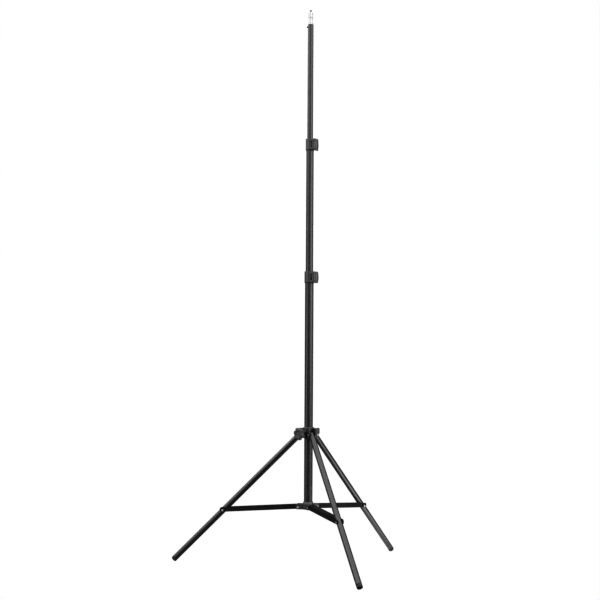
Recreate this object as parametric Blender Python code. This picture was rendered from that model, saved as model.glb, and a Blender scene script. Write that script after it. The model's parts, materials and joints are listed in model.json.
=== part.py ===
"""Three-section folding light stand with flip-lever clamps and a sliding leg collar.

Frame: +Z up, origin on the floor under the column's axis. One leg points along -Y, the other two
along +30 and +150 degrees from +X. Units are metres.

Every moving assembly hangs from an empty on its joint's axis. A side of the stand is built in a
local frame whose +X points outward from the column, so that the three sides share their meshes.
"""

import math

import bmesh
import bpy
from mathutils import Matrix

MM = 0.001
GAP = 0.3 * MM                      # between touching pieces
ROUND = 24                          # segments of a turned piece
SMALL_ROUND = 12                    # segments of a rivet, a screw or a drilled hole

# Leg linkage
SIDES = {"front": -90.0, "right": 30.0, "left": 150.0}
LEG_SPLAY = math.radians(45.4)      # leg from the vertical
LEG_UPPER = 387.5 * MM              # collar pivot to brace pivot, along the leg
LEG_LOWER = 257.0 * MM              # brace pivot to the foot's end
BRACE_LENGTH = 276.5 * MM           # bracket pivot to leg pivot
PIVOT_RADIUS = 34.1 * MM            # bracket and collar pivots, from the column's axis

# Tubes
MAIN_R, MAIN_WALL = 15.0 * MM, 1.2 * MM
MID_R, MID_WALL = 13.0 * MM, 1.2 * MM
TOP_R, TOP_WALL = 10.0 * MM, 1.2 * MM
LEG_R, LEG_WALL = 10.0 * MM, 1.2 * MM

# Heights up the column
LOWER_CLAMP_Z = 999.0 * MM
UPPER_CLAMP_Z = 1480.0 * MM
TOP_TUBE_END_Z = 1945.2 * MM
MID_TUBE_START_Z = 679.0 * MM
TOP_TUBE_START_Z = 1160.0 * MM
STAND_HEIGHT = 2000.0 * MM

# Clamps
CLAMP_HEIGHT = 43.0 * MM
CLAMP_SEAT = 16.0 * MM              # how far a collar reaches down over its own tube
CLAMP_WALL = 2.0 * MM
LEVER_HEIGHT = 40.0 * MM
LEVER_SIDE = math.radians(-20.0)    # the way the levers point
LEVER_PIN_TURN = math.radians(-52.0)
CLAMP_SCREW_TURN = math.radians(110.0)
LEVER_CENTRE = (-4.5 * MM, 17.0 * MM)   # of the handle's bend, from its pin
LEVER_BEND_R = math.hypot(*LEVER_CENTRE)
LEVER_HALF = 2.2 * MM
LEVER_CROWN = 3.0 * MM
LEVER_FLANGE = (0.4 * MM, 2.7 * MM)     # from the handle's lower or upper end
LEVER_BOSS_R = 6.0 * MM
LEVER_PIN_R = 1.6 * MM
LEVER_PIN_INSET = 2.0 * MM
LUG_R = 7.0 * MM
LUG_HEIGHT = 5.0 * MM
LUG_INSET = 4.5 * MM                # from the collar's ends

# Forks, knob and small parts
COLLAR_HEIGHT = 39.0 * MM
COLLAR_BELOW_PIVOT = 10.8 * MM
COLLAR_R = 19.5 * MM
COLLAR_CHEEK_TOP = 24.5 * MM        # above the pivot
BRACKET_HEIGHT = 26.9 * MM
BRACKET_BELOW_PIVOT = 6.7 * MM
BRACKET_NECK = 8.0 * MM             # its upper end narrows to the tube over this height
BRACKET_CHEEK = (-6.2 * MM, 12.3 * MM)  # from the pivot
BRACKET_CHEEK_X = 42.0 * MM
BRACKET_R = 19.5 * MM
FORK_WALL = 3.1 * MM
CHEEK_ROOT_X = 12.0 * MM            # cheeks start inside the ring and are trimmed by its bore
CHEEK_ROUND_R = 7.0 * MM
COLLAR_CHEEK_X = 44.7 * MM
BRACE_HALF = 11.6 * MM
BRACE_WALL = 1.2 * MM
BRACE_TOP = 11.5 * MM               # above the line of its pivots
BRACE_BOTTOM = -4.5 * MM
BRACE_WEB_START = 4.0 * MM
BRACE_WEB_STOP = 31.0 * MM          # the web ends this far short of the leg pivot
BRACE_PAST_LEG = 14.5 * MM          # the cheeks end this far past the leg pivot
RIVET_R = 2.0 * MM
RIVET_HEAD_R = 4.2 * MM
RIVET_HEAD = 1.5 * MM
KNOB_TURN = 210.0
KNOB_ABOVE_PIVOT = 5.3 * MM
KNOB_R = 22.0 * MM
KNOB_LOBE_TURN = math.radians(44.0)     # where the first lobe points, from level
KNOB_START, KNOB_END = 42.5 * MM, 58.0 * MM
BOSS_R = 11.0 * MM
STEM_R = 4.0 * MM
FOOT_R = 10.0 * MM                  # no wider than the tube, so that it folds into the brace
FOOT_LENGTH = 13.0 * MM
FOOT_EDGE = 3.0 * MM
SPIGOT_SCREW_TURN = math.radians(160.0)
SPIGOT_R = 8.0 * MM
STUD_R = 3.2 * MM
STUD_LENGTH = 10.0 * MM

# Worked out from the above
BRACE_DROP = math.acos(LEG_UPPER * math.sin(LEG_SPLAY) / BRACE_LENGTH)
LEG_TILT = math.pi / 2 - LEG_SPLAY


def foot_profile():
    """The foot's outside from its end plane's centre, as (along the leg, radius)."""
    points = [(LEG_LOWER, 0.0)]
    for step in range(4):
        turn = math.pi / 2 * step / 3
        points.append((LEG_LOWER - FOOT_EDGE * (1 - math.cos(turn)),
                       FOOT_R - FOOT_EDGE * (1 - math.sin(turn))))
    return points


LEG_PIVOT_Z = max(x * math.sin(LEG_TILT) + r * math.cos(LEG_TILT) for x, r in foot_profile())
BRACKET_PIVOT_Z = LEG_PIVOT_Z + BRACE_LENGTH * math.sin(BRACE_DROP)
COLLAR_PIVOT_Z = LEG_PIVOT_Z + LEG_UPPER * math.cos(LEG_SPLAY)
LEG_PIVOT_X = PIVOT_RADIUS + BRACE_LENGTH * math.cos(BRACE_DROP)
COLLAR_Z = COLLAR_PIVOT_Z - COLLAR_BELOW_PIVOT
BRACKET_Z = BRACKET_PIVOT_Z - BRACKET_BELOW_PIVOT

MATERIALS = {
    "black_tube": ((0.030, 0.031, 0.033), 0.38, 0.0),
    "black_steel": ((0.020, 0.021, 0.022), 0.42, 0.0),
    "black_plastic": ((0.022, 0.023, 0.024), 0.50, 0.0),
    "grey_plastic": ((0.090, 0.092, 0.095), 0.55, 0.0),
    "bright_steel": ((0.62, 0.62, 0.62), 0.28, 1.0),
    "aluminium": ((0.80, 0.80, 0.81), 0.25, 1.0),
    "rubber": ((0.014, 0.014, 0.015), 0.80, 0.0),
}


# ---------------------------------------------------------------- helpers

def clear_scene():
    for item in list(bpy.data.objects):
        bpy.data.objects.remove(item, do_unlink=True)


def material(name):
    found = bpy.data.materials.get(name)
    if found:
        return found
    made = bpy.data.materials.new(name)
    made.use_nodes = True
    colour, roughness, metallic = MATERIALS[name]
    shader = made.node_tree.nodes["Principled BSDF"]
    shader.inputs["Base Color"].default_value = (*colour, 1.0)
    shader.inputs["Roughness"].default_value = roughness
    shader.inputs["Metallic"].default_value = metallic
    return made


def empty(name, parent=None, location=(0, 0, 0), rotation=(0, 0, 0)):
    made = bpy.data.objects.new(name, None)
    made.location, made.rotation_euler, made.parent = location, rotation, parent
    bpy.context.collection.objects.link(made)
    return made


def place(name, mesh, parent=None, finish=None):
    made = bpy.data.objects.new(name, mesh)
    made.parent = parent
    bpy.context.collection.objects.link(made)
    if finish and not mesh.materials:
        mesh.materials.append(material(finish))
    return made


def to_mesh(name, shape, smooth_angle=35.0):
    bmesh.ops.recalc_face_normals(shape, faces=shape.faces)
    mesh = bpy.data.meshes.new(name)
    shape.to_mesh(mesh)
    shape.free()
    mesh.shade_smooth()
    mesh.set_sharp_from_angle(angle=math.radians(smooth_angle))
    return mesh


TURN_TO = {
    "Z": Matrix.Identity(4),
    "X": Matrix.Rotation(math.pi / 2, 4, "Y"),
    "Y": Matrix.Rotation(-math.pi / 2, 4, "X"),
}


def turned(name, profile, axis="Z", offset=(0, 0, 0), segments=ROUND):
    """A solid of revolution. profile is a closed loop of (along the axis, radius) points, and its
    ends may lie on the axis."""
    shape = bmesh.new()
    points = [shape.verts.new((radius, 0, along)) for along, radius in profile]
    on_axis = [radius == 0.0 for _, radius in profile]
    for index, point in enumerate(points):
        after = (index + 1) % len(points)
        if not (on_axis[index] and on_axis[after]):
            shape.edges.new((point, points[after]))
    bmesh.ops.spin(shape, geom=shape.verts[:] + shape.edges[:], cent=(0, 0, 0), axis=(0, 0, 1),
                   angle=2 * math.pi, steps=segments, use_merge=True)
    bmesh.ops.remove_doubles(shape, verts=shape.verts, dist=1e-6)
    shape.transform(Matrix.Translation(offset) @ TURN_TO[axis])
    return to_mesh(name, shape)


def rod(name, start, end, radius, axis="Z", offset=(0, 0, 0), segments=ROUND, edge=0.0):
    """A plain bar between two places on its axis, with an optional chamfer."""
    profile = [(start, 0.0), (start, radius - edge), (start + edge, radius),
               (end - edge, radius), (end, radius - edge), (end, 0.0)]
    if edge == 0.0:
        profile = [profile[0], profile[1], profile[4], profile[5]]
    return turned(name, profile, axis, offset, segments)


def pipe(name, start, end, outer, inner, axis="Z"):
    return turned(name, [(start, inner), (start, outer), (end, outer), (end, inner)], axis)


def rounded_rivet(start, end, radius=RIVET_R, head_r=RIVET_HEAD_R, head=RIVET_HEAD, both=True):
    """Profile of a rivet whose shank runs from start to end, with a domed head past each end."""
    dome = [(head * math.sin(turn), head_r * math.cos(turn)) for turn in (0.0, math.pi / 4)]
    dome.append((head, 0.0))
    far = [(end + along, r) for along, r in dome]
    near = [(start - along, r) for along, r in reversed(dome)]
    if both:
        return near + [(start, radius), (end, radius)] + far
    return [(start, 0.0), (start, radius), (end, radius)] + far


def prism(name, outline, low, high, plane="XY"):
    """Extrude a closed outline. plane XZ extrudes along Y, plane XY along Z."""
    shape = bmesh.new()
    if plane == "XY":
        base = [shape.verts.new((x, y, low)) for x, y in outline]
        move = (0, 0, high - low)
    else:
        base = [shape.verts.new((x, low, z)) for x, z in outline]
        move = (0, high - low, 0)
    face = shape.faces.new(base)
    grown = bmesh.ops.extrude_face_region(shape, geom=[face])
    top = [item for item in grown["geom"] if isinstance(item, bmesh.types.BMVert)]
    bmesh.ops.translate(shape, vec=move, verts=top)
    return to_mesh(name, shape)


def box(name, low, high):
    outline = [(low[0], low[1]), (high[0], low[1]), (high[0], high[1]), (low[0], high[1])]
    return prism(name, outline, low[2], high[2])


def arc(centre, radius, start, end, steps):
    """Points on an arc, in degrees, both ends included."""
    return [(centre[0] + radius * math.cos(math.radians(start + (end - start) * i / steps)),
             centre[1] + radius * math.sin(math.radians(start + (end - start) * i / steps)))
            for i in range(steps + 1)]


def combine(target, mesh, operation="DIFFERENCE"):
    """Cut or join a shape into target. The cutter stays as a hidden guide."""
    guide = place(f"{target.name}_{operation.lower()}_{len(target.modifiers)}", mesh, target.parent)
    guide.hide_render = True
    guide.display_type = "WIRE"
    step = target.modifiers.new(guide.name, "BOOLEAN")
    step.operation, step.object, step.solver = operation, guide, "EXACT"
    return target


# ---------------------------------------------------------------- column

def build_tubes(column, mid, top):
    main = place("main_tube", pipe("main_tube", BRACKET_Z + 2 * MM, LOWER_CLAMP_Z + CLAMP_SEAT,
                                   MAIN_R, MAIN_R - MAIN_WALL), column, "black_tube")
    middle = place("mid_tube", pipe("mid_tube", MID_TUBE_START_Z, UPPER_CLAMP_Z + CLAMP_SEAT,
                                    MID_R, MID_R - MID_WALL), mid, "black_tube")
    lip = 1.6 * MM
    inner = TOP_R - TOP_WALL
    upper = place("top_tube", turned("top_tube", [
        (TOP_TUBE_START_Z, inner), (TOP_TUBE_START_Z, TOP_R), (TOP_TUBE_END_Z - lip, TOP_R),
        (TOP_TUBE_END_Z - 0.5 * MM, TOP_R - 0.5 * MM), (TOP_TUBE_END_Z, TOP_R - 1.1 * MM),
        (TOP_TUBE_END_Z, inner)]), top, "black_tube")
    return main, middle, upper


def build_bushes(column, mid, top):
    """A flanged sleeve at the foot of each sliding tube, and the plug that closes the main tube."""
    for name, start, tube_r, bore_r, parent in (
            ("mid_tube_bush", MID_TUBE_START_Z, MID_R - MID_WALL, MAIN_R - MAIN_WALL, mid),
            ("top_tube_bush", TOP_TUBE_START_Z, TOP_R - TOP_WALL, MID_R - MID_WALL, top)):
        stem, flange, hole = tube_r - GAP, bore_r - GAP, tube_r - 2.6 * MM
        place(name, turned(name, [
            (start - 10 * MM, hole), (start - 10 * MM, flange - 0.8 * MM),
            (start - 9.2 * MM, flange), (start - GAP, flange), (start - GAP, stem),
            (start + 18 * MM, stem), (start + 18 * MM, hole)]), parent, "grey_plastic")
    seat = BRACKET_Z + 2 * MM
    stem = MAIN_R - MAIN_WALL - GAP
    place("bottom_plug", turned("bottom_plug", [
        (seat - 2 * MM, 0.0), (seat - 2 * MM, MAIN_R - 1 * MM), (seat - 1 * MM, MAIN_R),
        (seat - GAP, MAIN_R), (seat - GAP, stem), (seat + 14 * MM, stem), (seat + 14 * MM, stem - 2 * MM),
        (seat + 1 * MM, stem - 2 * MM), (seat + 1 * MM, 0.0)]), column, "black_plastic")


def build_spigot(top, tube):
    shoulder = STAND_HEIGHT - STUD_LENGTH
    base = TOP_TUBE_END_Z + GAP
    stem = TOP_R - TOP_WALL - GAP
    place("spigot", turned("spigot", [
        (base - 42 * MM, 0.0), (base - 42 * MM, stem), (base - 1.5 * MM, stem),
        (base - 1.5 * MM, SPIGOT_R), (base + 10 * MM, SPIGOT_R), (base + 12 * MM, SPIGOT_R - 1 * MM),
        (base + 24 * MM, SPIGOT_R - 1 * MM), (base + 26 * MM, SPIGOT_R),
        (shoulder - 1 * MM, SPIGOT_R), (shoulder, SPIGOT_R - 1 * MM), (shoulder, STUD_R),
        (STAND_HEIGHT - 0.8 * MM, STUD_R), (STAND_HEIGHT, STUD_R - 0.8 * MM),
        (STAND_HEIGHT, 0.0)]), top, "aluminium")
    screw_z = TOP_TUBE_END_Z - 9 * MM
    side = empty("spigot_screw_side", top, (0, 0, screw_z), (0, 0, SPIGOT_SCREW_TURN))
    combine(tube, transformed(rod("cut", stem, TOP_R + 2 * MM, 2.0 * MM, "X",
                                  segments=SMALL_ROUND), side))
    place("spigot_screw", turned("spigot_screw", [
        (stem + GAP, 0.0), (stem + GAP, 1.7 * MM), (TOP_R + GAP, 1.7 * MM), (TOP_R + GAP, 3.0 * MM),
        (TOP_R + 2.6 * MM, 3.0 * MM), (TOP_R + 3.4 * MM, 2.2 * MM), (TOP_R + 3.4 * MM, 0.0)],
        "X", segments=SMALL_ROUND), side, "black_steel")


def transformed(mesh, frame):
    """Move a mesh from an empty's own frame into that of the empty's parent."""
    mesh.transform(frame.matrix_basis)
    return mesh


# ---------------------------------------------------------------- clamps

def lever_outline(crown):
    """Plan of the handle round its pin at the origin: a band on an arc, with a lip at its tip.
    crown thickens it outwards, more and more towards the tip."""
    points = []
    for turn in range(-92, 19, 11):
        share = max(0.0, min(1.0, (turn + 62) / 55))
        points.append((turn, LEVER_BEND_R + LEVER_HALF + crown * share))
    points += [(26, LEVER_BEND_R + 3.4 * MM + crown), (27, LEVER_BEND_R + 0.2 * MM)]
    outline = [(LEVER_CENTRE[0] + radius * math.cos(math.radians(turn)),
                LEVER_CENTRE[1] + radius * math.sin(math.radians(turn))) for turn, radius in points]
    return outline + arc(LEVER_CENTRE, LEVER_BEND_R - LEVER_HALF, 18, -78, 9)


def lever_band(name, low, high):
    """The handle's curved plate, fullest at half its height."""
    shape = bmesh.new()
    middle, half = (low + high) / 2, (high - low) / 2
    loops = []
    for step in range(7):
        height = -math.cos(math.pi * step / 6)
        outline = lever_outline(LEVER_CROWN * (1 - height ** 2))
        loops.append([shape.verts.new((x, y, middle + half * height)) for x, y in outline])
    for near, far in zip(loops, loops[1:]):
        for index in range(len(near)):
            after = (index + 1) % len(near)
            shape.faces.new((near[index], near[after], far[after], far[index]))
    shape.faces.new(loops[0])
    shape.faces.new(loops[-1])
    bmesh.ops.triangulate(shape, faces=shape.faces[:])
    return to_mesh(name, shape)


def lever_flange_outline(pin, ring_r):
    """The web that closes the handle's end, from the middle of its plate to just clear of the
    collar's ring."""
    return (arc(LEVER_CENTRE, LEVER_BEND_R, -70, 20, 9)
            + arc((-pin[0], -pin[1]), ring_r + 0.8 * MM, 6, -38, 5))


def build_clamp(level, base_z, tube_r, slider_r, parent, tube):
    """A collar at a tube's upper end, its liner, brake shoe, pin and screw, and its flip lever."""
    bore = tube_r + GAP
    outer = bore + CLAMP_WALL
    reach = outer + 1.0 * MM + LEVER_BOSS_R
    pin = (reach * math.cos(LEVER_PIN_TURN), reach * math.sin(LEVER_PIN_TURN))
    frame = empty(f"{level}_clamp_frame", parent, (0, 0, base_z), (0, 0, LEVER_SIDE))

    collar = place(f"{level}_clamp_collar", turned(f"{level}_clamp_collar", [
        (0.0, bore), (0.0, outer - 1.6 * MM), (4 * MM, outer), (CLAMP_HEIGHT - 1.5 * MM, outer),
        (CLAMP_HEIGHT, outer - 1.0 * MM), (CLAMP_HEIGHT, bore)]), frame, "black_plastic")
    lug = lug_outline(pin, outer)
    for low in (LUG_INSET, CLAMP_HEIGHT - LUG_INSET - LUG_HEIGHT):
        combine(collar, prism("lug", lug, low, low + LUG_HEIGHT), "UNION")
    combine(collar, rod("bore", -MM, CLAMP_HEIGHT + MM, bore))
    combine(collar, rod("pin_hole", 0.0, CLAMP_HEIGHT, LEVER_PIN_R + GAP, offset=(*pin, 0),
                        segments=SMALL_ROUND))
    shoe_low, shoe_high = CLAMP_SEAT + 3 * MM, CLAMP_HEIGHT - LUG_INSET - LUG_HEIGHT - 1.5 * MM
    window = box("window", (bore - 3 * MM, -5 * MM, shoe_low), (outer + 3 * MM, 5 * MM, shoe_high))
    window.transform(Matrix.Rotation(LEVER_PIN_TURN, 4, "Z"))
    combine(collar, window)

    place(f"{level}_clamp_liner", pipe(f"{level}_clamp_liner", CLAMP_SEAT + GAP,
                                       CLAMP_HEIGHT - 0.6 * MM, bore - GAP, slider_r + GAP),
          frame, "grey_plastic")

    shoe = box(f"{level}_clamp_shoe", (bore + 0.1 * MM, -4.7 * MM, shoe_low + GAP),
               (outer + 0.7 * MM, 4.7 * MM, shoe_high - GAP))
    shoe.transform(Matrix.Rotation(LEVER_PIN_TURN, 4, "Z"))
    place(f"{level}_clamp_shoe", shoe, frame, "grey_plastic")

    place(f"{level}_lever_pin", rod(f"{level}_lever_pin", LEVER_PIN_INSET,
                                    CLAMP_HEIGHT - LEVER_PIN_INSET, LEVER_PIN_R, offset=(*pin, 0),
                                    segments=SMALL_ROUND, edge=0.3 * MM), frame, "bright_steel")

    screw_z = 8 * MM
    rear = empty(f"{level}_screw_side", frame, (0, 0, screw_z), (0, 0, CLAMP_SCREW_TURN))
    wall = tube_r - (MAIN_WALL if level == "lower" else MID_WALL)
    hole = transformed(rod("cut", wall - 2 * MM, outer + 3 * MM, 1.7 * MM, "X",
                           segments=SMALL_ROUND), rear)
    combine(collar, hole)
    tube_hole = hole.copy()
    tube_hole.transform(frame.matrix_basis)
    combine(tube, tube_hole)
    head = outer + GAP
    place(f"{level}_clamp_screw", turned(f"{level}_clamp_screw", [
        (wall + 0.05 * MM, 0.0), (wall + 0.05 * MM, 1.4 * MM), (head, 1.4 * MM), (head, 3.0 * MM),
        (head + 1.0 * MM, 2.7 * MM), (head + 1.6 * MM, 1.6 * MM), (head + 1.6 * MM, 0.0)],
        "X", segments=SMALL_ROUND), rear, "bright_steel")

    build_lever(level, empty(f"{level}_lever_hinge", frame, (*pin, 0)), pin, outer)


def lug_outline(pin, ring_r):
    """A disc inside the ring and one round the pin, with their outer tangents."""
    root_r = ring_r - 4.0 * MM
    turn = math.degrees(math.atan2(pin[1], pin[0]))
    lean = math.degrees(math.acos((root_r - LUG_R) / math.hypot(*pin)))
    around_pin = arc(pin, LUG_R, turn - lean, turn + lean, 8)
    around_ring = arc((0, 0), root_r, turn + lean, turn - lean + 360, 8)
    return around_pin + around_ring


def build_lever(level, hinge, pin, ring_r):
    """Handle with a boss round the pin between the lugs, and a web past each lug."""
    name = f"{level}_lever"
    low = (CLAMP_HEIGHT - LEVER_HEIGHT) / 2
    high = low + LEVER_HEIGHT
    boss_low = LUG_INSET + LUG_HEIGHT + 0.4 * MM
    boss_high = CLAMP_HEIGHT - boss_low
    lever = place(name, lever_band(name, low, high), hinge, "black_plastic")
    near, far = LEVER_FLANGE
    for start, end in ((low + near, low + far), (high - far, high - near)):
        combine(lever, prism("web", lever_flange_outline(pin, ring_r), start, end), "UNION")
    combine(lever, rod("post", low + 0.5 * MM, high - 0.5 * MM, LEVER_BOSS_R, segments=20), "UNION")
    clear_r = LUG_R + 0.6 * MM
    for start, end in ((LUG_INSET - 0.5 * MM, boss_low),
                       (boss_high, CLAMP_HEIGHT - LUG_INSET + 0.5 * MM)):
        combine(lever, rod("lug_room", start, end, clear_r, segments=24))
    combine(lever, rod("pin_hole", low - MM, high + MM, LEVER_PIN_R + GAP, segments=SMALL_ROUND))


# ---------------------------------------------------------------- collar, bracket and knob

def ring_body(name, low, height, outer, parent, edge, neck):
    """A ring with a bevelled lower edge and an upper edge that narrows over the neck, as
    (height, radius)."""
    return place(name, turned(name, [
        (low, MAIN_R + GAP), (low, outer - edge), (low + edge, outer),
        (low + height - neck[0], outer), (low + height, outer - neck[1]),
        (low + height, MAIN_R + GAP)]), parent, "black_plastic")


def collar_fork_outline():
    """Side view of a leg fork's cheek, from inside the ring's wall to its outer end: a block with
    the eye of the pivot hanging from it."""
    pivot = (PIVOT_RADIUS, COLLAR_PIVOT_Z)
    top = COLLAR_PIVOT_Z + COLLAR_CHEEK_TOP
    return ([(CHEEK_ROOT_X, COLLAR_Z + 1.5 * MM)] + arc(pivot, CHEEK_ROUND_R, -100, 25, 6)
            + [(COLLAR_CHEEK_X, COLLAR_PIVOT_Z + 6 * MM), (COLLAR_CHEEK_X, top - 2.5 * MM),
               (COLLAR_CHEEK_X - 2.5 * MM, top), (CHEEK_ROOT_X, top)])


def bracket_fork_outline():
    low, high = (BRACKET_PIVOT_Z + level for level in BRACKET_CHEEK)
    corner = 4 * MM
    return ([(CHEEK_ROOT_X, low)]
            + arc((BRACKET_CHEEK_X - corner, low + corner), corner, -90, 0, 3)
            + arc((BRACKET_CHEEK_X - corner, high - corner), corner, 0, 90, 3)
            + [(CHEEK_ROOT_X, high)])


def add_forks(body, outline, inside):
    """Two cheeks on each of the ring's three sides."""
    for turn in SIDES.values():
        spin = Matrix.Rotation(math.radians(turn), 4, "Z")
        for side in (-1, 1):
            low, high = sorted((side * inside, side * (inside + FORK_WALL)))
            cheek = prism("cheek", outline, low, high, "XZ")
            cheek.transform(spin)
            combine(body, cheek, "UNION")


def drill_forks(body, inside, pivot_z):
    """A pivot hole through each pair of cheeks."""
    reach = inside + FORK_WALL + MM
    for turn in SIDES.values():
        hole = rod("pivot_hole", -reach, reach, RIVET_R + GAP, "Y",
                   (PIVOT_RADIUS, 0, pivot_z), SMALL_ROUND)
        hole.transform(Matrix.Rotation(math.radians(turn), 4, "Z"))
        combine(body, hole)


def build_bracket(column, tube):
    bracket = ring_body("lower_bracket", BRACKET_Z, BRACKET_HEIGHT, BRACKET_R, column, 1 * MM,
                        (BRACKET_NECK, 3.2 * MM))
    inside = BRACE_HALF + GAP
    add_forks(bracket, bracket_fork_outline(), inside)
    combine(bracket, rod("bore", BRACKET_Z - MM, BRACKET_Z + BRACKET_HEIGHT + MM, MAIN_R + GAP))
    drill_forks(bracket, inside, BRACKET_PIVOT_Z)

    rear = empty("bracket_screw_side", column, (0, 0, BRACKET_PIVOT_Z), (0, 0, math.pi / 2))
    wall = MAIN_R - MAIN_WALL
    hole = transformed(rod("cut", wall - 2 * MM, BRACKET_R + 3 * MM, 2.3 * MM, "X",
                           segments=SMALL_ROUND), rear)
    combine(bracket, hole)
    combine(tube, hole.copy())
    face = BRACKET_R - 0.4 * MM
    place("bracket_screw", turned("bracket_screw", [
        (wall + 0.05 * MM, 0.0), (wall + 0.05 * MM, 1.6 * MM), (wall + 0.5 * MM, 2.0 * MM),
        (face, 2.0 * MM), (face, 1.0 * MM), (face - 2.0 * MM, 1.0 * MM), (face - 2.0 * MM, 0.0)],
        "X", segments=SMALL_ROUND), rear, "bright_steel")

    span = inside + FORK_WALL + GAP
    rivet = turned("brace_pivot_rivet", rounded_rivet(-span, span), "Y", segments=SMALL_ROUND)
    for side, turn in SIDES.items():
        frame = empty(f"{side}_bracket_side", column, (0, 0, 0), (0, 0, math.radians(turn)))
        made = place(f"{side}_brace_pivot_rivet", rivet, frame, "bright_steel")
        made.location = (PIVOT_RADIUS, 0, BRACKET_PIVOT_Z)


def build_collar(slider):
    collar = ring_body("leg_collar", COLLAR_Z, COLLAR_HEIGHT, COLLAR_R, slider, 1.2 * MM,
                       (2.2 * MM, 2.2 * MM))
    inside = LEG_R + 0.4 * MM
    add_forks(collar, collar_fork_outline(), inside)
    boss_z = COLLAR_PIVOT_Z + KNOB_ABOVE_PIVOT
    knob_side = empty("knob_side", slider, (0, 0, boss_z), (0, 0, math.radians(KNOB_TURN)))
    combine(collar, transformed(rod("boss", 17 * MM, KNOB_START - 1.5 * MM, BOSS_R, "X",
                                    segments=20, edge=MM), knob_side), "UNION")
    combine(collar, rod("bore", COLLAR_Z - MM, COLLAR_Z + COLLAR_HEIGHT + MM, MAIN_R + GAP))
    combine(collar, transformed(rod("stem_hole", 10 * MM, KNOB_START, STEM_R + GAP, "X",
                                    segments=22), knob_side))
    drill_forks(collar, inside, COLLAR_PIVOT_Z)
    place("collar_shoe", rod("collar_shoe", MAIN_R + GAP, MAIN_R + 2.6 * MM, STEM_R - 0.1 * MM, "X",
                             segments=20), knob_side, "grey_plastic")

    near, far = inside + 0.2 * MM, inside + FORK_WALL + GAP
    half = turned("leg_pivot_rivet", rounded_rivet(near, far, both=False), "Y",
                  segments=SMALL_ROUND)
    for side, turn in SIDES.items():
        frame = empty(f"{side}_collar_side", slider, (0, 0, 0), (0, 0, math.radians(turn)))
        for hand, half_turn in (("a", 0.0), ("b", math.pi)):
            made = place(f"{side}_leg_rivet_{hand}", half, frame, "bright_steel")
            made.location = (PIVOT_RADIUS, 0, COLLAR_PIVOT_Z)
            made.rotation_euler = (0, 0, half_turn)

    hinge = empty("knob_hinge", knob_side)
    build_knob(hinge)


def build_knob(hinge):
    """A six-lobed grip moulded round a threaded stem."""
    lobes, depth, steps = 6, 1.75 * MM, 36
    shape = bmesh.new()
    loops = []
    for along, inset in ((KNOB_START, 3.5 * MM), (KNOB_START + 5 * MM, 0.0),
                         (KNOB_END - 2.5 * MM, 0.0), (KNOB_END, 2.2 * MM)):
        loop = []
        for step in range(steps):
            turn = 2 * math.pi * step / steps
            radius = KNOB_R - depth + depth * math.cos(lobes * turn) - inset
            turn += KNOB_LOBE_TURN
            loop.append(shape.verts.new((along, radius * math.cos(turn), radius * math.sin(turn))))
        loops.append(loop)
    for near, far in zip(loops, loops[1:]):
        for step in range(steps):
            after = (step + 1) % steps
            shape.faces.new((near[step], near[after], far[after], far[step]))
    shape.faces.new(loops[0])
    shape.faces.new(loops[-1])
    knob = place("collar_knob", to_mesh("collar_knob", shape, 50.0), hinge, "black_plastic")
    combine(knob, rod("stem_room", KNOB_START - MM, KNOB_END - 4 * MM, STEM_R + GAP, "X", segments=20))
    place("knob_stem", rod("knob_stem", MAIN_R + 2.9 * MM, KNOB_END - 4 * MM - GAP, STEM_R, "X",
                           segments=20, edge=0.5 * MM), hinge, "bright_steel")


# ---------------------------------------------------------------- legs and braces

def brace_outline():
    middle = (BRACE_TOP + BRACE_BOTTOM) / 2
    radius = (BRACE_TOP - BRACE_BOTTOM) / 2
    return (arc((BRACE_LENGTH + BRACE_PAST_LEG - radius, middle), radius, -90, 90, 6)
            + arc((0.5 * MM, middle), radius, 90, 270, 6))


def build_brace(name, hinge):
    """An inverted U: one solid bar, hollowed from below, with the web cut back at both ends."""
    brace = place(name, prism(name, brace_outline(), -BRACE_HALF, BRACE_HALF, "XZ"),
                  hinge, "black_steel")
    inner = BRACE_HALF - BRACE_WALL
    reach = BRACE_LENGTH + 20 * MM
    combine(brace, box("hollow", (-20 * MM, -inner, BRACE_BOTTOM - MM),
                       (reach, inner, BRACE_TOP - BRACE_WALL)))
    combine(brace, box("inner_end", (-20 * MM, -inner, 0), (BRACE_WEB_START, inner, BRACE_TOP + MM)))
    combine(brace, box("outer_end", (BRACE_LENGTH - BRACE_WEB_STOP, -inner, 0),
                       (reach, inner, BRACE_TOP + MM)))
    for along in (0.0, BRACE_LENGTH):
        combine(brace, rod("pivot_hole", -BRACE_HALF - MM, BRACE_HALF + MM, RIVET_R + GAP, "Y",
                           (along, 0, 0), SMALL_ROUND))


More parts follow.
